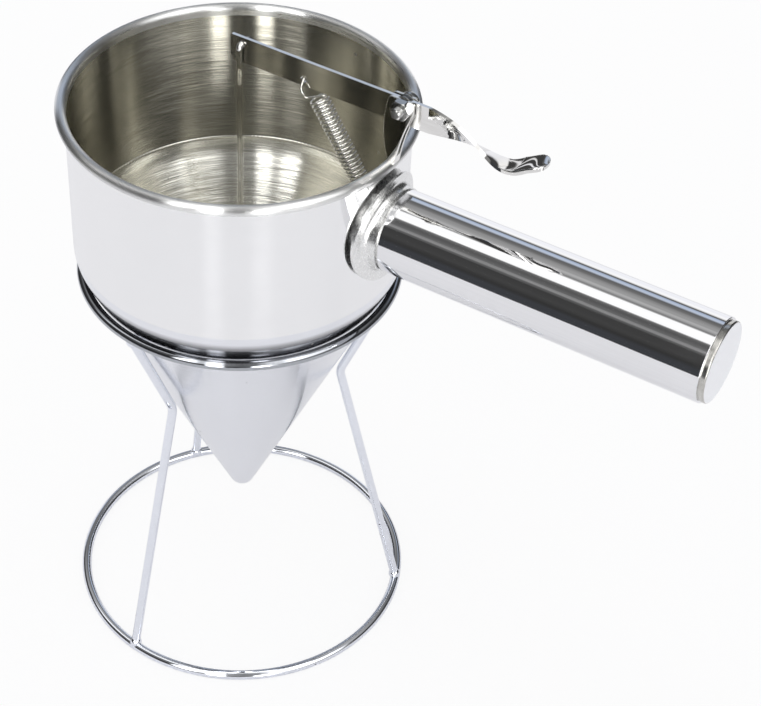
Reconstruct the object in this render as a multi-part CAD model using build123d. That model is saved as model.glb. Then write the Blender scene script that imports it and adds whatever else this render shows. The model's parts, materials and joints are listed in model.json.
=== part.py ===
from build123d import *
import os
from math import cos, pi, radians, sin, sqrt, tan
import numpy as np

# Stand: two wire rings joined by three bent legs
ring_wire_d = 4.0
leg_wire_d = 3.6
base_ring_r = 69.5
ring_inset = 2.5
leg_count = 3
first_leg_angle = 23.0
knee_z = 121.0
knee_gap = 2.4
knee_bend_r = 9.0
leg_setback = 0.8
weld_d = 5.0

# Hopper: a cup with a rolled rim over a cone with a rounded shoulder and a rounded tip
sheet = 0.8
cup_r = 64.7
cup_bottom_z = 186.5
cup_height = 60.3
bead_d = 4.2
curl_gap = 0.6
cone_angle = 24.7
shoulder_r = 18.0
tip_r = 5.6
outlet_d = 7.0
seat_gap = 0.3

# Handle: a tube on a saddle-shaped flange with a collar, closed by a plug
handle_drop = 28.8
tube_d = 32.0
tube_wall = 1.0
tube_length = 127.5
flange_reach = 6.1
flange_d = 42.6
flange_sheet = 0.9
brim_gap = 1.7
collar_d = 32.8
collar_groove = 0.7
flare_r = 4.0
flare_edge = 0.3
spigot_length = 12.0
cap_d = 30.6
cap_length = 1.6
cap_groove = 0.8
cap_edge_r = 0.7
tube_edge_r = 0.3

# Lever: an upright strip that twists by a quarter turn into a thumb paddle
strip_t = 1.2
strip_h = 10.5
lever_rise = 16.6
lever_tail = 3.4
tail_top_chamfer = 0.5
tail_low_chamfer = 1.8
pivot_overhang = 5.6
pivot_lift = 2.4
strip_past_pivot = 9.7
paddle_reach = 47.0
twist_length = 36.5
twist_ease = 0.1
paddle_dip = 6.3
paddle_skew = 1.64
paddle_corner_r = 4.8
paddle_stations = 15

# Pivot: a screw and nut through a fork on the rim, with a spacer on each side of the lever
screw_d = 4.0
running_gap = 0.05
spacer_d = 8.0
spacer_t = 0.4
bracket_sheet = 0.9
fork_top = 0.4
fork_back = 5.6
fork_front = 4.4
fork_head_h = 5.0
fork_corner_r = 1.2
fork_bulge = 2.3
fork_waist = 1.0
foot_offset = 0.9
foot_w = 2.0
foot_h = 2.6
wall_gap = 0.1
screw_head_d = 7.6
screw_head_t = 2.4
screw_slot_w = 1.0
screw_slot_depth = 1.1
nut_flats = 7.0
nut_t = 2.8
nut_chamfer = 0.45
screw_end = 2.6
screw_chamfer = 0.4

# Spring: a tension spring between a hole in the lever and a lug on the cup's wall
spring_wire_d = 0.9
spring_d = 7.8
spring_pitch = 1.6
spring_turns = 23
hook_r = 2.0
hook_hole_d = 3.0
spring_hole_x = 28.5
spring_hole_drop = 2.2
lug_drop = 24.9
lug_reach = 4.2
lug_nose_r = 2.6
lug_t = 1.2

# Valve: a bent rod that hangs in the lever and carries the stopper
rod_d = 2.3
rod_play = 0.35
rod_hole_x = 1.4
rod_hole_lift = 2.6
rod_side = 2.0
rod_bend_r = 1.9
rod_jog_top = 9.0
rod_jog_length = 9.0
rod_jog_r = 12.0
rod_tail = 2.6
rod_tail_lean = 60.0
stopper_gap = 0.3
stopper_bottom = 7.0
stopper_length = 13.0
stopper_edge_r = 1.0
boss_d = 6.0
boss_length = 5.0
rod_socket = 12.0
fit_gap = 0.02

# Places that follow from the sizes above
ring_wire_r = ring_wire_d / 2
leg_wire_r = leg_wire_d / 2
cone_slope = tan(radians(cone_angle))
cone_cos = cos(radians(cone_angle))
cone_sin = sin(radians(cone_angle))
cup_inner_r = cup_r - sheet
rim_z = cup_bottom_z + cup_height
bead_r = bead_d / 2
bead_centre_r = cup_inner_r + bead_r
rim_top_z = rim_z + bead_r
corner_z = cup_bottom_z - shoulder_r * tan(radians(cone_angle) / 2)
apex_z = corner_z - cup_r / cone_slope
tip_centre_z = apex_z + tip_r / cone_sin
tip_z = tip_centre_z - sqrt(tip_r**2 - (outlet_d / 2) ** 2)
top_ring_r = cup_r - ring_inset
seat_offset = (ring_wire_r + seat_gap) / cone_cos
top_ring_z = apex_z + (top_ring_r - seat_offset) / cone_slope
handle_z = rim_z - handle_drop
tube_r = tube_d / 2
tube_start_x = cup_r + flange_reach
tube_end_x = tube_start_x + tube_length
lever_mid_z = rim_top_z + lever_rise + strip_h / 2
pivot_x = cup_r + pivot_overhang
pivot_z = lever_mid_z + pivot_lift
straight_end_x = pivot_x + strip_past_pivot
lever_end_x = straight_end_x + paddle_reach
fork_inner = strip_t / 2 + spacer_t + 2 * running_gap
fork_outer = fork_inner + bracket_sheet
lug_root_x = cup_inner_r - wall_gap
spring_hole_z = lever_mid_z - spring_hole_drop
lug_hole_x = lug_root_x - lug_reach
lug_hole_z = rim_top_z - lug_drop
rod_hole_z = lever_mid_z + rod_hole_lift
stopper_z = tip_z + stopper_bottom


def cone_r(z, inset=0.0):
    # Radius of the cone at a height, for a surface set in by a distance square to the wall
    return (z - apex_z) * cone_slope - inset / cone_cos


def rising(shape, height):
    # Lift a centred shape so that it stands on its own base
    return Pos(0, 0, height / 2) * shape


def wire_tube(path, diameter):
    # A round wire along a path
    start = Plane(origin=path @ 0, z_dir=path % 0)
    return sweep(start * Circle(diameter / 2), path=path)


def wire_ring(radius, z):
    # A closed ring of the stand's wire
    return Pos(0, 0, z) * Torus(radius, ring_wire_r)


def base_ring():
    return wire_ring(base_ring_r, ring_wire_r)


def top_ring():
    return wire_ring(top_ring_r, top_ring_z)


def leg_points():
    # Foot and head of a leg on the rings' centre lines, and its knee beside the cone's wall
    foot = Vector(base_ring_r, 0, ring_wire_r)
    knee = Vector(cone_r(knee_z, -knee_gap - leg_wire_r), 0, knee_z)
    head = Vector(top_ring_r, 0, top_ring_z)
    return foot, knee, head


def leg_blank():
    # The bent wire, cut off just short of the rings' centre lines
    foot, knee, head = leg_points()
    low_end = foot + (knee - foot).normalized() * leg_setback
    high_end = head + (knee - head).normalized() * leg_setback
    return wire_tube(FilletPolyline(low_end, knee, high_end, radius=knee_bend_r), leg_wire_d)


def leg():
    # A leg whose ends are cut to the rings that they stand on
    return leg_blank() - base_ring() - top_ring()


def weld(ring_point, ring):
    # A bead of weld metal in the corner between a leg and a ring, clear of the funnel
    knee = leg_points()[1]
    centre = ring_point + (knee - ring_point).normalized() * ring_wire_r
    bead = Pos(centre) * Sphere(weld_d / 2)
    return bead - ring - leg_blank() - funnel_space()


def funnel_space():
    # The room that the cone takes up in the stand, with its seating gap
    low_r = cone_r(knee_z, -seat_gap)
    high_r = cone_r(corner_z, -seat_gap)
    height = corner_z - knee_z
    return Pos(0, 0, knee_z + height / 2) * Cone(low_r, high_r, height)


def round_the_axis(shape):
    # Copies of a shape at the angles of the legs
    step = 360 / leg_count
    return [Rot(0, 0, first_leg_angle + step * index) * shape for index in range(leg_count)]


def hopper_cup():
    # The wall turns over outwards into a curl, open below beside the wall
    height = rim_z - cup_bottom_z
    wall = Pos(cup_r - sheet / 2, cup_bottom_z + height / 2) * Rectangle(sheet, height)
    curl = Pos(bead_centre_r, rim_z) * (Circle(bead_r) - Circle(bead_r - sheet))
    slot = Pos(cup_r + curl_gap / 2, rim_z - bead_r / 2) * Rectangle(curl_gap, bead_r)
    return revolve(Plane.XZ * (wall + curl - slot), Axis.Z)


def hopper_cone():
    # A cone of even wall that turns up to the cup, with a ball-shaped tip bored for the outlet
    outlet_r = outlet_d / 2
    inner_tip_r = tip_r - sheet
    inner_shoulder_r = shoulder_r - sheet
    shoulder_centre_r = cup_r - shoulder_r
    outer_top = (cup_r, cup_bottom_z)
    inner_top = (cup_inner_r, cup_bottom_z)
    outer_turn = (shoulder_centre_r + shoulder_r * cone_cos, cup_bottom_z - shoulder_r * cone_sin)
    inner_turn = (shoulder_centre_r + inner_shoulder_r * cone_cos, cup_bottom_z - inner_shoulder_r * cone_sin)
    outer_low = (tip_r * cone_cos, tip_centre_z - tip_r * cone_sin)
    inner_low = (inner_tip_r * cone_cos, tip_centre_z - inner_tip_r * cone_sin)
    outer_lip = (outlet_r, tip_z)
    inner_lip = (outlet_r, tip_centre_z - sqrt(inner_tip_r**2 - outlet_r**2))
    outline = RadiusArc(outer_top, outer_turn, shoulder_r)
    outline += Line(outer_turn, outer_low)
    outline += RadiusArc(outer_low, outer_lip, tip_r)
    outline += Line(outer_lip, inner_lip)
    outline += RadiusArc(inner_lip, inner_low, -inner_tip_r)
    outline += Line(inner_low, inner_turn)
    outline += RadiusArc(inner_turn, inner_top, -inner_shoulder_r)
    outline += Line(inner_top, outer_top)
    return revolve(Plane.XZ * make_face(outline), Axis.Z)


def along_handle(profile):
    # Turn a profile drawn as reach and radius about the handle's axis
    face = Plane(origin=(0, 0, handle_z), x_dir=(1, 0, 0), z_dir=(0, -1, 0)) * profile
    return revolve(face, Axis((0, 0, handle_z), (1, 0, 0)))


def round_the_cup(radius, height):
    # An upright cylinder about the cup's axis, centred on the handle's height
    return Pos(0, 0, handle_z) * Cylinder(radius, height)


def handle_flange():
    # A brim that stands off the cup's wall, a collar with a round flare between them, and a spigot
    back_x = cup_r + brim_gap
    face_x = back_x + flange_sheet
    collar_r = collar_d / 2
    collar_end_x = tube_start_x - collar_groove
    spigot_r = tube_r - tube_wall - fit_gap
    spigot_end_x = tube_start_x + spigot_length
    disc = along_handle(Pos(face_x / 2, flange_d / 4) * Rectangle(face_x, flange_d / 2))
    brim = (disc & round_the_cup(face_x, 2 * flange_d)) - round_the_cup(back_x, 2 * flange_d)
    collar = along_handle(Pos(collar_end_x / 2, collar_r / 2) * Rectangle(collar_end_x, collar_r))
    body = brim + (collar - round_the_cup(cup_r, 2 * flange_d))

    def on_collar(edge):
        point = edge @ 0
        return abs(Vector(0, point.Y, point.Z - handle_z).length - collar_r) < fit_gap

    corner = body.edges().filter_by(on_collar)
    corner = corner.filter_by(GeomType.CIRCLE, reverse=True).filter_by(GeomType.LINE, reverse=True)
    corner = corner.sort_by(Axis.X)[-1]
    brim_room = (flange_d - collar_d) / 2 - flare_edge
    collar_room = collar_end_x - face_x - flare_edge
    body = fillet(corner, min(flare_r, brim_room, collar_room))
    body += along_handle(Pos(spigot_end_x / 2, spigot_r / 2) * Rectangle(spigot_end_x, spigot_r))
    bore_r = spigot_r - flange_sheet
    body -= along_handle(Pos(spigot_end_x / 2, bore_r / 2) * Rectangle(spigot_end_x, bore_r))
    return body - round_the_cup(cup_r, 2 * flange_d)


def handle_tube():
    middle = tube_start_x + tube_length / 2
    tube = Cylinder(tube_r, tube_length) - Cylinder(tube_r - tube_wall, tube_length)
    tube = fillet(tube.edges().filter_by(GeomType.CIRCLE).sort_by(SortBy.RADIUS)[-2:], tube_edge_r)
    return Pos(middle, 0, handle_z) * Rot(0, 90, 0) * tube


def handle_end_cap():
    # A cup-shaped plug with a rounded edge, set off from the tube by a narrow groove
    cap_r = cap_d / 2
    spigot_r = tube_r - tube_wall - fit_gap
    head_x = tube_end_x + cap_groove
    spigot_reach = spigot_length + cap_groove
    head = rising(Cylinder(cap_r, cap_length), cap_length)
    head = fillet(head.edges().sort_by(Axis.Z)[-1], cap_edge_r)
    spigot = rising(Cylinder(spigot_r, spigot_reach), -spigot_reach)
    hollow = rising(Cylinder(spigot_r - tube_wall, spigot_reach), -spigot_reach)
    return Pos(head_x, 0, handle_z) * Rot(0, 90, 0) * (head + spigot - hollow)


def cross_hole(x, z, radius):
    # A drill through the lever's plane
    return Pos(x, 0, z) * Rot(90, 0, 0) * Cylinder(radius, 4 * fork_outer)


def paddle_section(share):
    # The strip's cross-section at a share of the way from the straight part to the end
    x = straight_end_x + paddle_reach * share
    phase = pi * share**paddle_skew
    z = lever_mid_z - paddle_dip * sin(phase) ** 2
    climb = -paddle_dip * sin(2 * phase) * pi * paddle_skew * share ** (paddle_skew - 1) / paddle_reach
    turn = min(share * paddle_reach / twist_length, 1.0)
    eased = 3 * turn**2 - 2 * turn**3
    twist = pi / 2 * (turn + twist_ease * (eased - turn))
    forward = Vector(1, 0, climb).normalized()
    upward = Vector(-forward.Z, 0, forward.X)
    across = upward * cos(twist) + Vector(0, -1, 0) * sin(twist)
    return Plane(origin=(x, 0, z), x_dir=across, z_dir=forward) * Rectangle(strip_h, strip_t)


def paddle_corners():
    # What is cut away to round the two corners of the paddle's end
    kept = Pos(lever_end_x - 2 * paddle_corner_r, 0, lever_mid_z)
    kept *= Box(4 * paddle_corner_r, strip_h, 4 * strip_h)
    kept = fillet(kept.edges().filter_by(Axis.Z).sort_by(Axis.X)[-2:], paddle_corner_r)
    end = Pos(lever_end_x, 0, lever_mid_z) * Box(2 * paddle_corner_r, 2 * strip_h, 2 * strip_h)
    return end - kept


def lever():
    # The straight strip, the quarter twist and the dished paddle in one piece
    length = straight_end_x + lever_tail
    strip = Pos((straight_end_x - lever_tail) / 2, 0, lever_mid_z) * Box(length, strip_t, strip_h)
    tail_edges = strip.edges().filter_by(Axis.Y).sort_by(Axis.X)[:2].sort_by(Axis.Z)
    strip = chamfer(tail_edges[0], tail_low_chamfer)
    tail_edges = strip.edges().filter_by(Axis.Y).sort_by(Axis.Z)[-2:].sort_by(Axis.X)
    strip = chamfer(tail_edges[0], tail_top_chamfer)
    shares = [index / (paddle_stations - 1) for index in range(paddle_stations)]
    paddle = loft([paddle_section(share) for share in shares])
    blank = strip + paddle - paddle_corners()
    blank -= cross_hole(pivot_x, pivot_z, screw_d / 2 + running_gap)
    blank -= cross_hole(rod_hole_x, rod_hole_z, rod_d / 2 + rod_play)
    return blank - cross_hole(spring_hole_x, spring_hole_z, hook_hole_d / 2)


def pivot_bracket():
    # Two leaf-shaped cheeks that rise from one foot, which is shaped to the rolled rim below it
    top_z = lever_mid_z + strip_h / 2 + fork_top
    left_x = pivot_x - fork_back
    right_x = pivot_x + fork_front
    shoulder_z = top_z - fork_head_h
    foot_x = bead_centre_r + foot_offset
    foot_left = (foot_x - foot_w / 2, rim_z)
    foot_right = (foot_x + foot_w / 2, rim_z)
    bulge = ((left_x + foot_left[0]) / 2 - fork_bulge, (top_z + rim_z) / 2)
    waist = ((right_x + foot_right[0]) / 2 - fork_waist, (shoulder_z + rim_z) / 2)
    outline = ThreePointArc((left_x, top_z), bulge, foot_left)
    outline += Line(foot_left, foot_right)
    outline += ThreePointArc(foot_right, waist, (right_x, shoulder_z))
    outline += Polyline((right_x, shoulder_z), (right_x, top_z), (left_x, top_z))
    side = make_face(outline)
    side = fillet(side.vertices().group_by(Axis.Y)[-1], fork_corner_r)
    blank = extrude(Plane.XZ * side, fork_outer, both=True)
    gap_h = 2 * (top_z - rim_top_z)
    gap_z = rim_top_z + foot_h + gap_h / 2
    gap = Pos(pivot_x, 0, gap_z) * Box(4 * fork_back, 2 * fork_inner, gap_h)
    rolled_rim = Pos(0, 0, rim_z) * Torus(bead_centre_r, bead_r)
    return blank - gap - rolled_rim - cross_hole(pivot_x, pivot_z, screw_d / 2 + running_gap)


def on_pivot(shape, y):
    # Place a shape drawn upright so that its base sits at a distance along the pivot axis
    return Pos(pivot_x, y, pivot_z) * Rot(-90, 0, 0) * shape


def pivot_screw():
    # A slotted pan head behind the fork and a plain end that stands out past the nut
    tip_y = -fork_outer - nut_t - screw_end
    shank_length = fork_outer - tip_y
    head = rising(Cylinder(screw_head_d / 2, screw_head_t), screw_head_t)
    head = fillet(head.edges().sort_by(Axis.Z)[-1], screw_head_t / 2)
    slot = Pos(0, 0, screw_head_t) * Box(screw_head_d, screw_slot_w, 2 * screw_slot_depth)
    shank = rising(Cylinder(screw_d / 2, shank_length), shank_length)
    shank = chamfer(shank.edges().sort_by(Axis.Z)[0], screw_chamfer)
    return on_pivot(head - slot, fork_outer) + on_pivot(shank, tip_y)


def pivot_nut():
    # A hexagon with its corners turned off on the outer face
    corner_r = nut_flats / 2 / cos(pi / 6)
    body = rising(extrude(RegularPolygon(corner_r, 6), nut_t / 2, both=True), nut_t)
    turned = rising(Cylinder(corner_r, nut_t), nut_t)
    turned = chamfer(turned.edges().sort_by(Axis.Z)[0], nut_chamfer)
    bore = rising(Cylinder(screw_d / 2 + fit_gap, nut_t), nut_t)
    return on_pivot((body & turned) - bore, -fork_outer - nut_t)


def pivot_spacers():
    # One washer on each side of the lever
    ring = Cylinder(spacer_d / 2, spacer_t) - Cylinder(screw_d / 2 + running_gap, spacer_t)
    ring = rising(ring, spacer_t)
    inner_y = strip_t / 2 + running_gap
    return [on_pivot(ring, inner_y), on_pivot(ring, -inner_y - spacer_t)]


def spring_anchor():
    # A lug that stands off the cup's wall, with a hole for the spring's hook
    arm = Pos(lug_hole_x + lug_reach / 2, lug_hole_z) * Rectangle(lug_reach, 2 * lug_nose_r)
    nose = Pos(lug_hole_x, lug_hole_z) * Circle(lug_nose_r)
    hole = Pos(lug_hole_x, lug_hole_z) * Circle(hook_hole_d / 2)
    return extrude(Plane.XZ * (arm + nose - hole), lug_t / 2, both=True)


def biarc(start, start_way, end, end_way):
    # Two arcs that leave one point and reach another in the given directions
    chord = end - start
    ways = start_way + end_way
    square = ways.dot(ways) - 4
    linear = -2 * chord.dot(ways)
    reach = (-linear - sqrt(linear**2 - 4 * square * chord.dot(chord))) / (2 * square)
    first = start + start_way * reach
    second = end - end_way * reach
    joint = (first + second) * 0.5
    joint_way = (second - first).normalized()
    return [Edge.make_tangent_arc(start, start_way, joint), Edge.make_tangent_arc(joint, joint_way, end)]


def spring_path():
    # A half-round hook through the lever, an even coil, and a half-round hook through the lug
    top = Vector(spring_hole_x, 0, spring_hole_z)
    bottom = Vector(lug_hole_x, 0, lug_hole_z)
    down = (bottom - top).normalized()
    side = Vector(0, -1, 0)
    front = down.cross(side)
    coil_r = (spring_d - spring_wire_d) / 2
    coil_length = spring_pitch * spring_turns
    coil_top = top + down * (((bottom - top).length - coil_length) / 2)
    rise = spring_pitch / (2 * pi * coil_r)

    def coil_point(angle):
        around = side * cos(angle) + front * sin(angle)
        return coil_top + around * coil_r + down * (spring_pitch * angle / (2 * pi))

    def coil_way(angle):
        return (front * cos(angle) - side * sin(angle) + down * rise).normalized()

    def hook(hole, inward):
        centre = hole + inward * hook_r
        return centre + side * hook_r, hole, centre - side * hook_r

    near, through, far = hook(top, down)
    edges = [Edge.make_three_point_arc(far, through, near)]
    edges += biarc(near, down, coil_point(0), coil_way(0))
    for half in range(2 * spring_turns):
        this = pi * half
        following = this + pi
        edges += biarc(coil_point(this), coil_way(this), coil_point(following), coil_way(following))
    last = 2 * pi * spring_turns
    near, through, far = hook(bottom, -down)
    edges += biarc(coil_point(last), coil_way(last), near, down)
    edges.append(Edge.make_three_point_arc(near, through, far))
    return edges


def least_gap(edges, wire_d):
    # Least distance between parts of the wire that are over half a turn apart along it
    samples = 12
    points = [edge.position_at(step / samples) for edge in edges for step in range(samples)]
    cloud = np.array([(point.X, point.Y, point.Z) for point in points])
    runs = np.linalg.norm(np.diff(cloud, axis=0), axis=1)
    along = np.concatenate([[0.0], np.cumsum(runs)])
    apart = np.linalg.norm(cloud[:, None] - cloud[None], axis=2)
    distant = np.abs(along[:, None] - along[None]) > pi * (spring_d - wire_d) / 2
    return apart[distant].min() - wire_d


def lever_spring():
    edges = spring_path()
    print("least gap in the spring", round(float(least_gap(edges, spring_wire_d)), 2))
    return wire_tube(Wire(edges), spring_wire_d)


def pull_rod():
    # Up beside the lever, through its hole, and over into a short tail behind it
    lean = radians(rod_tail_lean)
    tail_end = (rod_hole_x + rod_tail * sin(lean), rod_side, rod_hole_z + rod_tail * cos(lean))
    jog_top_z = rod_hole_z - rod_jog_top
    path = FilletPolyline(
        tail_end,
        (rod_hole_x, rod_side, rod_hole_z),
        (rod_hole_x, -rod_side, rod_hole_z),
        (rod_hole_x, -rod_side, jog_top_z),
        (0, 0, jog_top_z - rod_jog_length),
        (0, 0, stopper_z + stopper_length + boss_length - rod_socket),
        radius=[rod_bend_r, rod_bend_r, rod_jog_r, rod_jog_r],
    )
    return wire_tube(path, rod_d)


def stopper():
    # A plug that matches the cone inside, with a boss that takes the end of the rod
    top_z = stopper_z + stopper_length
    low_r = cone_r(stopper_z, sheet + stopper_gap)
    high_r = cone_r(top_z, sheet + stopper_gap)
    plug = Pos(0, 0, stopper_z + stopper_length / 2) * Cone(low_r, high_r, stopper_length)
    plug = fillet(plug.edges().filter_by(GeomType.CIRCLE), stopper_edge_r)
    boss = Pos(0, 0, top_z + boss_length / 2) * Cylinder(boss_d / 2, boss_length)
    boss_top_z = top_z + boss_length
    socket = Pos(0, 0, boss_top_z - rod_socket / 2) * Cylinder(rod_d / 2 + fit_gap, rod_socket)
    return plug + boss - socket


def group(solids, name):
    # Separate solids that share one name
    return Compound(label=name, children=solids)


foot_point, knee_point, head_point = leg_points()
parts = {
    "base_ring": base_ring(),
    "top_ring": top_ring(),
    "foot_welds": group(round_the_axis(weld(foot_point, base_ring())), "foot_welds"),
    "ring_welds": group(round_the_axis(weld(head_point, top_ring())), "ring_welds"),
    "hopper_cup": hopper_cup(),
    "hopper_cone": hopper_cone(),
    "handle_flange": handle_flange(),
    "handle_tube": handle_tube(),
    "handle_end_cap": handle_end_cap(),
    "pivot_bracket": pivot_bracket(),
    "pivot_screw": pivot_screw(),
    "pivot_nut": pivot_nut(),
    "pivot_spacers": group(pivot_spacers(), "pivot_spacers"),
    "spring_anchor": spring_anchor(),
    "lever_spring": lever_spring(),
    "lever": lever(),
    "pull_rod": pull_rod(),
    "stopper": stopper(),
}
for number, placed_leg in enumerate(round_the_axis(leg()), start=1):
    parts[f"leg_{number}"] = placed_leg

os.makedirs("parts", exist_ok=True)
for name, shape in parts.items():
    shape.label = name
    export_step(shape, f"parts/{name}.step")
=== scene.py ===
import bpy
import json
import math
import numpy as np
from mathutils import Matrix, Vector


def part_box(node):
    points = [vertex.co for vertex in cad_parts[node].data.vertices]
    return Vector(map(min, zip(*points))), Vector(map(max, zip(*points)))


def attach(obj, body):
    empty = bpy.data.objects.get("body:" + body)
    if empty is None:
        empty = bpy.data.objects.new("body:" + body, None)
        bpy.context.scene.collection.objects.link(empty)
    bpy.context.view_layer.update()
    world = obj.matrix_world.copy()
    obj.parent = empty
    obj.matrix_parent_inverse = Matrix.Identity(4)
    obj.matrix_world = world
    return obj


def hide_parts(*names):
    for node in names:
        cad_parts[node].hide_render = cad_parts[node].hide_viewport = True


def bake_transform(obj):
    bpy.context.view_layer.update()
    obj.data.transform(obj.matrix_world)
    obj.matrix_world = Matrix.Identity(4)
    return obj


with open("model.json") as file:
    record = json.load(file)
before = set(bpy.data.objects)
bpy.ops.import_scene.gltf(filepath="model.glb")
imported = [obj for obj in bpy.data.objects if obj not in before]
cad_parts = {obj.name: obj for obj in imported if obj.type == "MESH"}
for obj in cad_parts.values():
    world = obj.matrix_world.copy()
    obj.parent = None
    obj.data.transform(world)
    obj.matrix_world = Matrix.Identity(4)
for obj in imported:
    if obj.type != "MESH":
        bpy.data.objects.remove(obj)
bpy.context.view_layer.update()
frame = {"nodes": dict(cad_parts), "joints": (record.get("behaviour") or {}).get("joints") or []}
nodes = frame["nodes"]
mm = 0.001
print("frame loaded,", len(nodes), "nodes")


# Places taken from the frame, in mm

def corners(node):
    # Low and high corner of a node's box, to a micrometre
    return [np.round(np.array(corner) / mm, 3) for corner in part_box(node)]


leverPivot = next(joint for joint in frame["joints"] if joint["name"] == "lever_pivot")
pivot = np.array(leverPivot["pos_m"]) / mm
cupHigh = corners("hopper_cup")[1]
coneHigh = corners("hopper_cone")[1]


# Camera

cameraView = {
    "place": (0.354694, -0.510487, 0.670868),  # metres, in the dispenser's own frame
    "pitch": 41.29,                            # degrees below the level
    "turn": -29.52,                            # degrees about the upright axis
    "roll": 3.11,                              # degrees about the line of sight
    "lens": 95.11,                             # mm
    "sensor": 36,                              # mm wide
    "nearest": 0.01,                           # metres to the nearest thing that shows
}


def aimCamera(view):
    # Line of sight from pitch and turn, then the picture's sides rolled about it
    pitch, turn, roll = (math.radians(view[key]) for key in ("pitch", "turn", "roll"))
    sight = Vector((math.cos(pitch) * math.sin(turn), math.cos(pitch) * math.cos(turn), -math.sin(pitch)))
    level = Vector((math.cos(turn), -math.sin(turn), 0))
    above = level.cross(sight)
    across = level * math.cos(roll) + above * math.sin(roll)
    upward = above * math.cos(roll) - level * math.sin(roll)
    eye = bpy.data.cameras.new("photoCamera")
    eye.lens = view["lens"]
    eye.sensor_fit = "HORIZONTAL"
    eye.sensor_width = view["sensor"]
    eye.clip_start = view["nearest"]
    holder = bpy.data.objects.new("photoCamera", eye)
    turned = Matrix((across, upward, -sight)).transposed().to_4x4()
    holder.matrix_world = Matrix.Translation(view["place"]) @ turned
    bpy.context.scene.collection.objects.link(holder)
    bpy.context.scene.camera = holder


aimCamera(cameraView)
print("camera aimed")


# Node helpers

def newTree(owner):
    owner.use_nodes = True
    tree = owner.node_tree
    tree.nodes.clear()
    return tree


def add(tree, kind, settings=None, **sockets):
    # One node, its settings, and its sockets as numbers or as links from other nodes' outputs
    node = tree.nodes.new(kind)
    for key, value in (settings or {}).items():
        setattr(node, key, value)
    for key, value in sockets.items():
        socket = node.inputs[int(key[1:])] if key[0] == "i" and key[1:].isdigit() else node.inputs[key]
        if isinstance(value, bpy.types.NodeSocket):
            tree.links.new(value, socket)
        else:
            socket.default_value = value
    return node


def calc(tree, operation, first, second=0.0, third=0.0):
    return add(tree, "ShaderNodeMath", {"operation": operation}, i0=first, i1=second, i2=third).outputs[0]


def product(tree, first, *others):
    for other in others:
        first = calc(tree, "MULTIPLY", first, other)
    return first


def vectorCalc(tree, operation, **sockets):
    return add(tree, "ShaderNodeVectorMath", {"operation": operation}, **sockets).outputs


def dot(tree, first, second):
    return vectorCalc(tree, "DOT_PRODUCT", i0=first, i1=second)["Value"]


def axes(tree, vector):
    return add(tree, "ShaderNodeSeparateXYZ", None, i0=vector).outputs


def mixColour(tree, share, first, second):
    return add(tree, "ShaderNodeMix", {"data_type": "RGBA"}, i0=share, i6=first, i7=second).outputs[2]


def mixNumber(tree, share, first, second):
    return add(tree, "ShaderNodeMix", {"data_type": "FLOAT"}, i0=share, i2=first, i3=second).outputs[0]


def span(tree, value, fromLow, fromHigh, toLow, toHigh, smooth=False):
    shape = "SMOOTHSTEP" if smooth else "LINEAR"
    return add(tree, "ShaderNodeMapRange", {"interpolation_type": shape}, i0=value, i1=fromLow, i2=fromHigh,
               i3=toLow, i4=toHigh).outputs[0]


def rising(tree, value, ends):
    # 0 at the first end and 1 at the second, smooth between them
    return span(tree, value, *ends, 0.0, 1.0, True)


def falling(tree, value, ends):
    return span(tree, value, *ends, 1.0, 0.0, True)


def ramp(tree, value, stops):
    # Levels along a value, given as pairs of place and level, where a level is a grey or a colour
    node = add(tree, "ShaderNodeValToRGB", None, i0=value)
    band = node.color_ramp
    while len(band.elements) < len(stops):
        band.elements.new(0.5)
    for element, (place, level) in zip(band.elements, stops):
        element.position = place
        element.color = (tuple(level) if isinstance(level, tuple) else (level,) * 3) + (1,)
    return node.outputs[0]


def signedRamp(tree, value, stops):
    # The same for places from -1 to 1
    share = calc(tree, "MULTIPLY_ADD", value, 0.5, 0.5)
    return ramp(tree, share, [(place / 2 + 0.5, level) for place, level in stops])


def grey(level):
    return (level, level, level, 1)


# Room: pale behind, dim in front and at the sides, with strips over the cup and a soft box overhead

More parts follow.
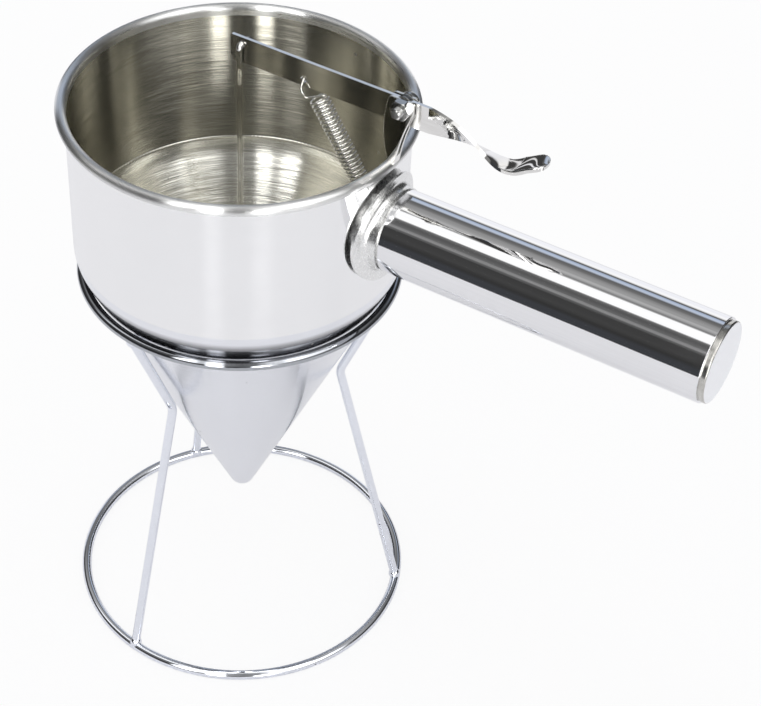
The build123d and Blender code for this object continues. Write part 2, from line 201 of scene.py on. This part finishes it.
room = {
    "frontTurn": -80.0,           # degrees: the way to the dim side of the room
    "viewTurn": -55.0,            # degrees: the way along the strips that hang over the cup
    "viewReach": 0.75,            # level share of the line from the cup to the eye
    "leastReach": 0.1,            # and its least, so that the slope stays finite behind
    "fill": 0.84,                 # evenly spread light on the floor
    # Share of the way from the front horizon over the top to the one behind, and level
    "handleBands": (
        (0.0, (0.052, 0.055, 0.062)), (0.05, 0.04), (0.12, 0.062), (0.225, 0.055), (0.24, 0.12),
        (0.262, 0.15), (0.270, 0.42), (0.279, 0.20), (0.290, 0.34), (0.302, 0.18), (0.32, 0.14),
        (0.365, 0.105), (0.395, 0.16), (0.405, 0.20), (0.418, 1.2), (0.532, 1.2), (0.541, 0.40),
        (0.558, 0.22), (0.580, 0.41), (0.603, 0.52), (0.625, 0.40), (0.69, 0.30), (0.715, 0.19),
        (0.765, 0.13), (0.797, (0.60, 0.67, 0.80)), (0.840, (0.46, 0.55, 0.72)), (0.858, 0.15),
        (0.875, 0.12), (0.898, 0.80), (0.920, 1.15), (1.0, (1.0, 1.01, 1.06))),
    # Slope sideways from the line to the eye, and level: low strips, which the cup's wall mirrors
    "wallStrips": (
        (-0.95, 0.05), (-0.60, 0.08), (-0.42, 0.28), (-0.33, 0.20), (-0.235, 0.15), (-0.20, 6.0),
        (-0.145, 6.8), (-0.10, 0.18), (-0.04, 0.09), (0.05, 0.24), (0.09, 7.2), (0.15, 8.2),
        (0.19, 1.9), (0.24, 0.90), (0.33, 0.62), (0.44, 0.48), (0.60, 0.32), (0.73, 0.22), (0.95, 0.10)),
    # And higher ones, which the cone mirrors
    "coneStrips": (
        (-0.95, 0.20), (-0.73, 0.80), (-0.60, 1.7), (-0.49, 3.5), (-0.40, 4.6), (-0.33, 4.0),
        (-0.27, 1.2), (-0.24, 1.2), (-0.20, 3.6), (-0.14, 3.6), (-0.10, 0.40), (0.0, 0.25),
        (0.09, 0.35), (0.17, 1.4), (0.26, 1.7), (0.31, 3.1), (0.39, 3.1), (0.46, 2.3), (0.52, 2.1),
        (0.67, 1.7), (0.80, 0.5), (0.95, 0.15)),
    "stripStart": (0.08, 0.18),   # toward the eye, where the soft box overhead gives over to the strips
    "stripRise": (0.28, 0.38),    # height of a way at which the low strips give over to the higher ones
    "cupSide": (-0.20, -0.10),    # sideways way in which the handle's bands give over to the strips
    "farSide": (-0.50, -0.65),    # and in which the room falls dim on the side away from the handle
    "nearSide": (0.32, 0.48),     # and on the other side
    "nearEye": (0.25, 0.40),      # toward the eye, where that other side stays light
    "sideTop": (0.45, 0.65),      # height of a way over which both sides stay light
    "sideBack": (0.15, 0.35),     # backward, where the side away from the handle stays light
    "panelSide": (-0.40, -0.46),  # dark panels behind, which the thumb paddle mirrors
    "panelBack": (0.45, 0.52),    # backward, where they start
    "panels": (                   # height of a way, and how much of the dark shows there
        (-0.26, 0.0), (-0.23, 1.0), (-0.085, 1.0), (-0.070, 0.0), (-0.040, 0.0), (-0.025, 1.0),
        (0.055, 1.0), (0.070, 0.1), (0.090, 0.1), (0.105, 1.0), (0.30, 1.0), (0.38, 0.0)),
    "dimLevel": 0.06,             # of the sides and the panels
}


def wayOf(degrees):
    return (math.cos(math.radians(degrees)), math.sin(math.radians(degrees)), 0)


def dimShare(tree, look, x, y, z, across, toward):
    # 1 where the room is dim: low at both sides of the dispenser, and in the panels behind
    near = product(tree, rising(tree, x, look["cupSide"]), rising(tree, across, look["nearSide"]),
                   falling(tree, toward, look["nearEye"]))
    far = product(tree, rising(tree, x, look["farSide"]), falling(tree, y, look["sideBack"]))
    sides = product(tree, calc(tree, "MAXIMUM", near, far), falling(tree, z, look["sideTop"]))
    panels = product(tree, rising(tree, x, look["panelSide"]), rising(tree, y, look["panelBack"]),
                     signedRamp(tree, z, look["panels"]))
    return calc(tree, "MAXIMUM", sides, panels)


def lightRoom(look):
    # Level by the angle over the top of the room, and toward the eye by strips that run that way
    world = bpy.data.worlds.new("studioRoom")
    world.cycles.sampling_method = "NONE"  # each mirrored ray finds the room itself
    bpy.context.scene.world = world
    tree = newTree(world)
    way = add(tree, "ShaderNodeTexCoord").outputs["Generated"]
    x, y, z = axes(tree, way)
    climb = calc(tree, "ARCTAN2", calc(tree, "MAXIMUM", z, 0.0), dot(tree, way, wayOf(look["frontTurn"])))
    bands = ramp(tree, calc(tree, "DIVIDE", climb, math.pi), look["handleBands"])
    toward = dot(tree, way, wayOf(look["viewTurn"]))
    across = dot(tree, way, wayOf(look["viewTurn"] + 90))
    reach = calc(tree, "MAXIMUM", calc(tree, "ADD", toward, look["viewReach"]), look["leastReach"])
    slope = calc(tree, "DIVIDE", across, reach)
    low, high = (signedRamp(tree, slope, look[key]) for key in ("wallStrips", "coneStrips"))
    strips = mixColour(tree, rising(tree, z, look["stripRise"]), low, high)
    overCup = product(tree, rising(tree, x, look["cupSide"]), rising(tree, toward, look["stripStart"]))
    dim = dimShare(tree, look, x, y, z, across, toward)
    mirrored = mixColour(tree, dim, mixColour(tree, overCup, bands, strips), grey(look["dimLevel"]))
    path = add(tree, "ShaderNodeLightPath").outputs
    lit = mixColour(tree, path["Is Glossy Ray"], grey(look["fill"]), mirrored)
    seenDirect = calc(tree, "MAXIMUM", path["Is Camera Ray"], path["Is Transmission Ray"])
    seen = mixColour(tree, seenDirect, lit, grey(1.0))
    sky = add(tree, "ShaderNodeBackground", None, Color=seen, Strength=1.0)
    add(tree, "ShaderNodeOutputWorld", None, Surface=sky.outputs[0])


softBox = {
    "place": (-0.32, -0.16, 1.50), "aim": (0.10, 0.0, 0.2), "size": (0.95, 0.34),  # metres
    "radiance": 1.6,
}


def hangSoftBox(look):
    # An even panel whose power gives the chosen radiance over its area; the room's bands are its reflection
    lamp = bpy.data.lights.new("overhead", "AREA")
    lamp.shape = "RECTANGLE"
    lamp.size, lamp.size_y = look["size"]
    lamp.energy = look["radiance"] * math.pi * lamp.size * lamp.size_y
    holder = bpy.data.objects.new("overhead", lamp)
    place = Vector(look["place"])
    facing = (place - Vector(look["aim"])).normalized()
    side = (Vector((1, 0, 0)) - facing * facing.x).normalized()
    turned = Matrix((side, facing.cross(side), facing)).transposed().to_4x4()
    holder.matrix_world = Matrix.Translation(place) @ turned
    holder.visible_glossy = False
    bpy.context.scene.collection.objects.link(holder)


lightRoom(room)
hangSoftBox(softBox)
print("room and soft box lit")


# Floor

floorLook = {
    "half": 0.80,                                     # metres
    "colour": (0.97, 0.97, 1.0, 1), "glow": 0.87,     # the glow evens it out to white
}


def layFloor(look):
    half = look["half"]
    square = [(-half, -half, 0), (half, -half, 0), (half, half, 0), (-half, half, 0)]
    mesh = bpy.data.meshes.new("floor")
    mesh.from_pydata(square, [], [(0, 1, 2, 3)])
    floor = bpy.data.objects.new("floor", mesh)
    bpy.context.scene.collection.objects.link(floor)
    paint = bpy.data.materials.new("paleFloor")
    tree = newTree(paint)
    matt = add(tree, "ShaderNodeBsdfDiffuse", None, Color=look["colour"])
    glow = add(tree, "ShaderNodeEmission", None, Color=grey(1.0), Strength=1.0)
    path = add(tree, "ShaderNodeLightPath").outputs
    seen = calc(tree, "MAXIMUM", path["Is Camera Ray"], path["Is Transmission Ray"])
    share = calc(tree, "MULTIPLY", seen, look["glow"])
    mixed = add(tree, "ShaderNodeMixShader", None, i0=share, i1=matt.outputs[0], i2=glow.outputs[0])
    add(tree, "ShaderNodeOutputMaterial", None, Surface=mixed.outputs[0])
    mesh.materials.append(paint)


layFloor(floorLook)
print("floor laid")


# Steel: patterns and places on a piece

def objectPlace(tree):
    return add(tree, "ShaderNodeTexCoord").outputs["Object"]


def aroundAxis(tree, stretch):
    # Object coordinates as turn, distance and height, so that a grain runs round the upright axis
    x, y, z = axes(tree, objectPlace(tree))
    turn = calc(tree, "ARCTAN2", y, x)
    reach = calc(tree, "SQRT", calc(tree, "ADD", product(tree, x, x), product(tree, y, y)))
    scaled = [product(tree, value, scale) for value, scale in zip((turn, reach, z), stretch)]
    return add(tree, "ShaderNodeCombineXYZ", None, i0=scaled[0], i1=scaled[1], i2=scaled[2]).outputs[0]


def stretched(tree, stretch):
    return add(tree, "ShaderNodeMapping", None, Vector=objectPlace(tree), Scale=stretch).outputs[0]


def noise(tree, vector, scale, detail, rough):
    return add(tree, "ShaderNodeTexNoise", None, Vector=vector, Scale=scale, Detail=detail,
               Roughness=rough).outputs[0]


def facesAxis(tree):
    # 1 where a surface faces the upright axis, as the inside of the hopper does
    place = add(tree, "ShaderNodeTexCoord").outputs
    level = vectorCalc(tree, "MULTIPLY", i0=place["Object"], i1=(1, 1, 0))[0]
    return calc(tree, "LESS_THAN", dot(tree, level, place["Normal"]), 0.0)


zoneEdges = {
    "rim": cupHigh[2] - 4.2,                                       # mm, the foot of the rolled rim
    "shoulder": (coneHigh[2] - 15.0, coneHigh[2] - 3.0),           # mm, the band under the ring that carries painted shade
    "ringShadeShares": ((0.0, 0.0), (0.25, 0.9), (0.75, 0.9), (1.0, 0.0)),  # share of that band, and how far the painted shade shows there
    "capFacePaintedLight": (0.80, 0.97),                                       # how far a normal is along the handle
}


def onRim(tree):
    return calc(tree, "GREATER_THAN", axes(tree, objectPlace(tree))["Z"], zoneEdges["rim"] * mm)


# Mask of the painted shade band on the cone's shoulder under the ring
def paintedShadeOnShoulder(tree):
    low, high = zoneEdges["shoulder"]
    share = span(tree, axes(tree, objectPlace(tree))["Z"], low * mm, high * mm, 0.0, 1.0)
    return ramp(tree, share, zoneEdges["ringShadeShares"])


def onCapFace(tree):
    normal = add(tree, "ShaderNodeTexCoord").outputs["Normal"]
    return rising(tree, dot(tree, normal, (1, 0, 0)), zoneEdges["capFacePaintedLight"])


def pits(tree, look):
    # Sparse specks: round spots about a few of the cells of a cell pattern
    cells = add(tree, "ShaderNodeTexVoronoi", None, Vector=objectPlace(tree), Scale=look["scale"]).outputs
    spot = calc(tree, "LESS_THAN", cells["Distance"], look["size"])
    draw = add(tree, "ShaderNodeSeparateColor", None, i0=cells["Color"]).outputs[0]
    return product(tree, spot, calc(tree, "LESS_THAN", draw, look["share"]))


turnedLines = {
    "stretch": (3.5, 3200, 3200), "detail": 2.0, "rough": 0.5,
    "anisotropy": 1.0, "anisotropyTurn": 0.25,
}


def turnedNormal(tree, lean, rise):
    # The normal leans across the turned lines by a fine noise round the axis, and by a steady rise
    place = add(tree, "ShaderNodeTexCoord").outputs
    x, y = axes(tree, place["Object"])[:2]
    around = add(tree, "ShaderNodeCombineXYZ", None, i0=calc(tree, "MULTIPLY", y, -1.0), i1=x).outputs[0]
    across = vectorCalc(tree, "CROSS_PRODUCT", i0=around, i1=place["Normal"])[0]
    across = vectorCalc(tree, "NORMALIZE", i0=across)[0]
    grain = aroundAxis(tree, turnedLines["stretch"])
    lines = noise(tree, grain, 1.0, turnedLines["detail"], turnedLines["rough"])
    amount = calc(tree, "MULTIPLY_ADD", calc(tree, "SUBTRACT", lines, 0.5), lean, rise)
    leaning = vectorCalc(tree, "SCALE", i0=across, Scale=amount)[0]
    summed = vectorCalc(tree, "ADD", i0=place["Normal"], i1=leaning)[0]
    return vectorCalc(tree, "NORMALIZE", i0=summed)[0]


# Steel: finishes

grainMix = {
    "detail": 4.0, "rough": 0.6, "share": 0.7,             # fine grain
    "cloudDetail": 2.0, "cloudRough": 0.55, "cloudShare": 0.3,
    "spread": (0.3, 0.7),                                  # of both, from dark to light
    "reliefDepth": 0.0001,                                 # metres
    "pitGloss": 0.6, "edgeSamples": 6,
}


def zoneFinish(tree, mixed, zone):
    share = span(tree, mixed, *grainMix["spread"], 0.0, 1.0)
    tint = mixColour(tree, share, zone["dark"] + (1,), zone["light"] + (1,))
    return tint, span(tree, mixed, *grainMix["spread"], *zone["roughness"])


def steel(name, look):
    # Metal whose tint, gloss and relief follow a fine grain and a broad cloud, with zones and specks
    material = bpy.data.materials.new(name)
    tree = newTree(material)
    turned = look.get("turned", False)
    grainPlace = aroundAxis(tree, look["grain"]) if turned else stretched(tree, look["grain"])
    grain = noise(tree, grainPlace, 1.0, grainMix["detail"], grainMix["rough"])
    cloud = noise(tree, objectPlace(tree), look["cloud"], grainMix["cloudDetail"], grainMix["cloudRough"])
    mixed = calc(tree, "ADD", product(tree, grain, grainMix["share"]),
                 product(tree, cloud, grainMix["cloudShare"]))
    tint, gloss = zoneFinish(tree, mixed, look)
    depth, rise = look["bump"], 0.0
    for maskOf, zone in look.get("zones", ()):
        mask = maskOf(tree)
        zoneTint, zoneGloss = zoneFinish(tree, mixed, zone)
        tint = mixColour(tree, mask, tint, zoneTint)
        gloss = mixNumber(tree, mask, gloss, zoneGloss)
        depth = mixNumber(tree, mask, depth, zone["bump"])
        rise = mixNumber(tree, mask, rise, zone.get("rise", 0.0))
    if "pits" in look:
        speck = pits(tree, look["pits"])
        tint = mixColour(tree, speck, tint, look["pits"]["tint"] + (1,))
        gloss = mixNumber(tree, speck, gloss, grainMix["pitGloss"])
    shader = add(tree, "ShaderNodeBsdfPrincipled", None, Metallic=1.0, Roughness=gloss)
    tree.links.new(tint, shader.inputs["Base Color"])
    if turned:
        shader.inputs["Anisotropic"].default_value = turnedLines["anisotropy"]
        shader.inputs["Anisotropic Rotation"].default_value = turnedLines["anisotropyTurn"]
        tangent = add(tree, "ShaderNodeTangent", {"direction_type": "RADIAL", "axis": "Z"})
        tree.links.new(tangent.outputs[0], shader.inputs["Tangent"])
        facing = turnedNormal(tree, depth, rise)
    else:
        relief = add(tree, "ShaderNodeBump", None, Strength=depth, Height=grain,
                     Distance=grainMix["reliefDepth"])
        if "edge" in look:  # edges seem rounded by this radius, so that they catch the light
            samples = {"samples": grainMix["edgeSamples"]}
            rounded = add(tree, "ShaderNodeBevel", samples, Radius=look["edge"])
            tree.links.new(rounded.outputs[0], relief.inputs["Normal"])
        facing = relief.outputs[0]
    tree.links.new(facing, shader.inputs["Normal"])
    add(tree, "ShaderNodeOutputMaterial", None, Surface=shader.outputs[0])
    return material


# Inside of the cup: the same steel as the outside, with its tint darkened as painted shade for the dim
# inside of the cup
turnedWallPaintedShade = {
    "roughness": (0.16, 0.23), "bump": 0.44, "rise": 0.36,
    "dark": (0.29, 0.28, 0.235), "light": (0.42, 0.405, 0.345)}
turnedFunnel = {
    "roughness": (0.15, 0.21), "bump": 0.48, "rise": 0.15,
    "dark": (0.68, 0.67, 0.61), "light": (0.95, 0.94, 0.88)}
rolledRim = {
    "roughness": (0.25, 0.34), "bump": 0.16,
    "dark": (0.80, 0.80, 0.79), "light": (0.90, 0.90, 0.89)}
# Painted shade: a dark band on the cone's shoulder that stands in for the ring's dark reflection and the
# shadow of the gap over the ring
paintedRingShadeBand = {
    "roughness": (0.06, 0.12), "bump": 0.04,
    "dark": (0.20, 0.20, 0.21), "light": (0.30, 0.30, 0.31)}
# Flat face of the end cap: painted near-white as painted light
capFacePaintedLight = {
    "roughness": (0.30, 0.42), "bump": 0.06,
    "dark": (0.93, 0.94, 0.96), "light": (0.98, 0.99, 1.0)}
finishes = {
    "chromeWire": {
        "grain": (900, 900, 900), "cloud": 40, "roughness": (0.03, 0.07), "bump": 0.012,
        "dark": (0.80, 0.82, 0.87), "light": (0.86, 0.88, 0.93),
        "pits": {"scale": 420, "size": 0.20, "share": 0.03, "tint": (0.25, 0.25, 0.27)}},
    # Top ring: the same chrome wire as the stand, with its tint about halved as painted shade under the cup
    "ringWirePaintedShade": {
        "grain": (900, 900, 900), "cloud": 40, "roughness": (0.02, 0.05), "bump": 0.012,
        "dark": (0.38, 0.39, 0.42), "light": (0.48, 0.50, 0.53)},
    "turnedCup": {
        "turned": True, "grain": (5, 2600, 2600), "cloud": 25, "roughness": (0.09, 0.15), "bump": 0.06,
        "dark": (0.88, 0.88, 0.88), "light": (0.93, 0.93, 0.93),
        "zones": ((facesAxis, turnedWallPaintedShade), (onRim, rolledRim)),
        "pits": {"scale": 260, "size": 0.16, "share": 0.006, "tint": (0.45, 0.44, 0.42)}},
    "turnedCone": {
        "turned": True, "grain": (5, 2600, 2600), "cloud": 25, "roughness": (0.07, 0.14), "bump": 0.04,
        "dark": (0.80, 0.81, 0.84), "light": (0.87, 0.88, 0.91),
        "zones": ((paintedShadeOnShoulder, paintedRingShadeBand), (facesAxis, turnedFunnel)),
        "pits": {"scale": 260, "size": 0.12, "share": 0.06, "tint": (0.35, 0.34, 0.33)}},
    "polishedHandle": {
        "grain": (12, 1500, 1500), "cloud": 30, "roughness": (0.035, 0.075), "bump": 0.04,
        "dark": (0.80, 0.80, 0.81), "light": (0.86, 0.86, 0.87),
        "pits": {"scale": 260, "size": 0.16, "share": 0.006, "tint": (0.3, 0.3, 0.3)}},
    "brushedFlange": {
        "grain": (900, 900, 900), "cloud": 60, "roughness": (0.22, 0.32), "bump": 0.05,
        "dark": (0.74, 0.74, 0.73), "light": (0.88, 0.88, 0.87)},
    # End cap: the rounded edge is tinted dark as painted shade, and the flat face zone is painted
    # near-white as painted light
    "satinCapPaintedShadeAndLight": {
        "grain": (700, 700, 700), "cloud": 60, "roughness": (0.16, 0.26), "bump": 0.06,
        "dark": (0.46, 0.45, 0.42), "light": (0.64, 0.63, 0.60),
        "zones": ((onCapFace, capFacePaintedLight),)},
    "leverStrip": {
        "grain": (60, 900, 900), "cloud": 40, "roughness": (0.025, 0.055), "bump": 0.02,
        "dark": (0.72, 0.71, 0.69), "light": (0.82, 0.81, 0.79)},
    "polishedFork": {
        "grain": (60, 900, 900), "cloud": 40, "roughness": (0.04, 0.08), "bump": 0.03,
        "dark": (0.74, 0.73, 0.70), "light": (0.84, 0.83, 0.80), "edge": 0.0004},
    "platedFastener": {
        "grain": (1200, 1200, 1200), "cloud": 150, "roughness": (0.08, 0.16), "bump": 0.04,
        "dark": (0.36, 0.36, 0.35), "light": (0.54, 0.54, 0.53), "edge": 0.00015},
    "brightRod": {
        "grain": (1800, 1800, 90), "cloud": 90, "roughness": (0.06, 0.14), "bump": 0.1,
        "dark": (0.48, 0.475, 0.455), "light": (0.98, 0.97, 0.94)},
    "drawnWire": {
        "grain": (1500, 1500, 200), "cloud": 90, "roughness": (0.05, 0.12), "bump": 0.03,
        "dark": (0.62, 0.61, 0.57), "light": (0.92, 0.91, 0.87)},
}
steels = {name: steel(name, look) for name, look in finishes.items()}
nodesByFinish = {
    "chromeWire": ("base_ring", "leg_1", "leg_2", "leg_3", "foot_welds", "ring_welds"),
    "ringWirePaintedShade": ("top_ring",),
    "turnedCup": ("hopper_cup",),
    "turnedCone": ("hopper_cone", "stopper"),
    "polishedHandle": ("handle_tube",),
    "brushedFlange": ("handle_flange",),
    "satinCapPaintedShadeAndLight": ("handle_end_cap",),
    "leverStrip": ("lever", "spring_anchor"),
    "polishedFork": ("pivot_bracket",),
    "platedFastener": ("pivot_screw", "pivot_nut", "pivot_spacers"),
    "brightRod": ("pull_rod",),
    "drawnWire": ("lever_spring",),
}
for finishName, nodeNames in nodesByFinish.items():
    for nodeName in nodeNames:
        nodes[nodeName].data.materials.clear()
        nodes[nodeName].data.materials.append(steels[finishName])
print(len(finishes), "finishes given to", sum(map(len, nodesByFinish.values())), "nodes")


# Surfaces from arrays

def gridFaces(rows, columns, wrapRows):
    # Four-sided faces of a grid of points, whose columns join end to end, and its rows too where they wrap
    row, column = np.meshgrid(np.arange(rows if wrapRows else rows - 1), np.arange(columns), indexing="ij")
    nextRow, nextColumn = (row + 1) % rows, (column + 1) % columns
    fourCorners = (row * columns + column, row * columns + nextColumn,
                   nextRow * columns + nextColumn, nextRow * columns + column)
    return np.stack(fourCorners, axis=-1).reshape(-1, 4)


def makePiece(name, points, finish, wrapRows=False):
    # A mesh from a grid of points in mm, smooth, with flat ends where its rows are open
    rows, columns = points.shape[:2]
    faces = gridFaces(rows, columns, wrapRows).tolist()
    if not wrapRows:
        faces += [list(range(columns))[::-1], list(range((rows - 1) * columns, rows * columns))]
    mesh = bpy.data.meshes.new(name)
    mesh.from_pydata((points.reshape(-1, 3) * mm).tolist(), [], faces)
    mesh.polygons.foreach_set("use_smooth", [len(face) == 4 for face in faces])
    mesh.materials.append(steels[finish])
    mesh.update()
    piece = bpy.data.objects.new(name, mesh)
    bpy.context.scene.collection.objects.link(piece)
    return piece


def unit(vectors):
    return vectors / np.linalg.norm(vectors, axis=-1, keepdims=True)


def ease(share):
    # Three squares less two cubes, so that both ends are level
    return share ** 2 * (3 - 2 * share)


def fullTurn(count):
    return np.linspace(0, 2 * np.pi, count, endpoint=False)


def smoothPath(points, perStretch):
    # A curve through points: cubics whose slope at a point is half the step between its neighbours
    padded = np.vstack([2 * points[0] - points[1], points, 2 * points[-1] - points[-2]])
    steps = np.arange((len(points) - 1) * perStretch + 1) / perStretch
    at = np.minimum(steps.astype(int), len(points) - 2)
    share = (steps - at)[:, None]
    before, first, second, after = (padded[at + shift] for shift in range(4))
    return first + 0.5 * share * (second - before + share * (
        2 * before - 5 * first + 4 * second - after + share * (3 * (first - second) + after - before)))


def wireRings(path, ways, diameter, sides):
    # Rings of a round wire: the path plus the radius times cosine and sine of two ways square to it
    along = unit(np.gradient(path, axis=0))
    first = unit(ways - np.sum(ways * along, axis=1, keepdims=True) * along)
    second = np.cross(along, first)
    angle = fullTurn(sides)[None, :, None]
    return path[:, None] + diameter / 2 * (np.cos(angle) * first[:, None] + np.sin(angle) * second[:, None])


# Spring: a close coil with a long open hook through the lever and a short one through the lug on the wall

spring = {
    "wire": 0.85, "coil": 6.8, "pitch": 1.6, "turns": 23,   # mm, the coil to the middle of its wire
    "leverHole": (-41.8, 0.0, -4.6),                        # mm from the pivot
    "coilTop": (5.7, 0.0, -5.95),                           # mm from the lever's hole, as is its hook
    "leverHook": ((2.1, 1.9, -1.35), (1.0, 2.0, -0.05), (0.0, 0.0, 0.2), (0.1, -1.9, -0.95),
                  (0.0, -2.5, -2.95), (0.9, -2.6, -4.85), (2.2, -1.9, -6.55)),
    "lugHook": ((-7.2, 2.0, 4.2), (-4.7, 2.7, 2.1), (-1.8, 2.1, 0.6), (0.0, 0.0, 0.0),
                (0.8, -1.8, 0.7), (-0.2, -2.1, 2.2)),       # mm from the lug's hole
    "sides": 10, "perTurn": 28, "perStretch": 8, "joinSteps": 2,
}


def windSpring(look):
    # Coil: a point that falls one pitch in each turn, plus the radius times cosine and sine of the turn
    lugLow, lugHigh = corners("spring_anchor")
    noseRadius = (lugHigh[2] - lugLow[2]) / 2
    lugHole = np.array((lugLow[0] + noseRadius, 0.0, lugLow[2] + noseRadius))
    leverHole = pivot + look["leverHole"]
    top = leverHole + look["coilTop"]
    down = unit(lugHole - top)
    back = np.array((0.0, 1.0, 0.0))
    right = np.cross(back, down)
    turn = np.linspace(0, 2 * np.pi * look["turns"], look["turns"] * look["perTurn"] + 1)[:, None]
    outward = -np.cos(turn) * right + np.sin(turn) * back
    coil = top + look["coil"] / 2 * outward + down * look["pitch"] * turn / (2 * np.pi)
    # Each hook's curve runs on into the coil, and is cut off where the coil starts
    join, cut = look["joinSteps"], look["perStretch"] + 1
    leverHook = np.vstack([leverHole + np.array(look["leverHook"]), coil[:1], coil[join:join + 1]])
    lugHook = np.vstack([coil[-1 - join:-join], coil[-1:], lugHole + np.array(look["lugHook"])])
    hookIn = smoothPath(leverHook, look["perStretch"])[:-cut]
    hookOut = smoothPath(lugHook, look["perStretch"])[cut:]
    # The rings keep one side way in the hooks, and turn with the coil from that same side way
    along = unit(np.gradient(coil, axis=0))
    side = np.array((1.0, 0.0, 0.0))
    lean = math.atan2(np.cross(along[0], outward[0]) @ side, outward[0] @ side)
    coilWays = math.cos(lean) * outward + math.sin(lean) * np.cross(along, outward)
    ways = np.vstack([np.tile(side, (len(hookIn), 1)), coilWays, np.tile(side, (len(hookOut), 1))])
    rings = wireRings(np.vstack([hookIn, coil, hookOut]), ways, look["wire"], look["sides"])
    piece = makePiece("springWire", rings, "drawnWire")
    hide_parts("lever_spring")
    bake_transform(piece)


windSpring(spring)
print("spring wound")


# Thumb paddle: a dished face on the twisted end of the lever

paddleDish = {
    "reach": 47.0, "drop": 2.4,                                       # mm from the end, and under the pivot
    "width": 10.3, "thickness": 1.2, "corner": 4.8,                   # mm
    "dip": 6.3, "skew": 1.64, "twistLength": 36.5, "twistEase": 0.1,  # the lever's own bend and twist
    "from": 0.60, "to": 0.997, "fade": 0.16,                          # shares of the reach
    "proud": 0.42, "cover": 0.03, "sunk": 0.12,                       # mm over the lever's face, and in it
    "rows": 90, "columns": 25,
}


def dishPaddle(look):
    # Middle line: the lever's own dip and twist; over its face: proud times the square of the way across
    share = np.linspace(look["from"], look["to"], look["rows"])
    phase = np.pi * share ** look["skew"]
    phaseRate = np.pi * look["skew"] * share ** (look["skew"] - 1) / look["reach"]
    climb = -look["dip"] * np.sin(2 * phase) * phaseRate
    turn = np.minimum(share * look["reach"] / look["twistLength"], 1.0)
    twist = np.pi / 2 * (turn + look["twistEase"] * (ease(turn) - turn))[:, None]
    none = np.zeros_like(share)
    forth = corners("lever")[1][0] - look["reach"] * (1 - share)
    height = pivot[2] - look["drop"] - look["dip"] * np.sin(phase) ** 2
    middle = np.stack([forth, none, height], 1)
    forward = unit(np.stack([none + 1, none, climb], 1))
    upward = np.stack([-forward[:, 2], none, forward[:, 0]], 1)
    across = upward * np.cos(twist) - np.array((0.0, 1.0, 0.0)) * np.sin(twist)
    facing = np.cross(across, forward)
    # Half the width falls off in a quarter round at the end
    corner = look["corner"]
    toEnd = np.clip(look["reach"] * (1 - share), 0, corner)
    half = look["width"] / 2 - corner + np.sqrt(corner ** 2 - (corner - toEnd) ** 2)
    grown = ease(np.clip((share - look["from"]) / look["fade"], 0, 1))[:, None]
    side = np.linspace(-1, 1, look["columns"])[None, :]
    proud = grown * (look["cover"] + look["proud"] * side ** 2) - (1 - grown) * look["sunk"]
    flat = middle[:, None] + (half[:, None] * side)[:, :, None] * across[:, None]
    top = flat + (look["thickness"] / 2 + proud)[:, :, None] * facing[:, None]
    points = np.concatenate([top, flat[:, ::-1]], axis=1)
    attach(makePiece("paddleDish", points, "leverStrip"), "lever")


dishPaddle(paddleDish)
print("paddle dished")


# Screw thread past the nut

screwThread = {
    "fromNut": 0.1, "toEnd": 0.35,                            # mm into the nut, and short of the end
    "shank": 2.0, "sunk": 0.06, "pitch": 0.7, "depth": 0.22,  # mm
    "fadeRate": 14, "rows": 90, "sides": 48,
}


def cutThread(look):
    # Radius: the shank plus a triangle wave of pitches along and share of a turn, faded out at both ends
    start = corners("pivot_nut")[0][1] + look["fromNut"]
    end = corners("pivot_screw")[0][1] + look["toEnd"]
    along = np.linspace(0, 1, look["rows"])[:, None]
    y = start + (end - start) * along
    turn = fullTurn(look["sides"])[None, :]
    wave = 2 * np.abs((y / look["pitch"] + turn / (2 * np.pi)) % 1.0 - 0.5)
    fade = np.clip(np.minimum(along, 1 - along) * look["fadeRate"], 0, 1)
    radius = look["shank"] - look["sunk"] + look["depth"] * wave * fade
    x, z = pivot[0] + radius * np.cos(turn), pivot[2] + radius * np.sin(turn)
    points = np.stack([x, y + 0 * turn, z], axis=-1)
    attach(makePiece("screwThread", points, "platedFastener"), "funnel")


cutThread(screwThread)
print("thread cut")


# Welded seam between cup and cone

seamBead = {
    "inset": 0.92, "drop": 0.05,                  # mm from the cone's upper edge
    "across": 0.75, "proud": 0.19,                # mm
    "ripple": 0.22, "ripples": 250,               # share of proud, and count round the seam
    "swells": 3, "swellStart": 1.0,               # how the ripples come and go
    "rows": 1750, "sides": 10,
}


def runSeam(look):
    # A flat oval carried round the axis, whose reach inward swells a little with each ripple of the weld
    turn = fullTurn(look["rows"])[:, None]
    angle = fullTurn(look["sides"])[None, :]
    ripple = np.sin(look["ripples"] * turn) * np.cos(look["swells"] * turn + look["swellStart"])
    proud = look["proud"] * (1 + look["ripple"] * ripple)
    reach = coneHigh[0] - look["inset"] - proud * np.cos(angle)
    height = coneHigh[2] - look["drop"] + look["across"] * np.sin(angle) + 0 * turn
    points = np.stack([reach * np.cos(turn), reach * np.sin(turn), height], axis=-1)
    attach(makePiece("seamBead", points, "turnedCone", wrapRows=True), "funnel")


runSeam(seamBead)
print("seam run")


# View transform

bpy.context.scene.view_settings.view_transform = "Standard"
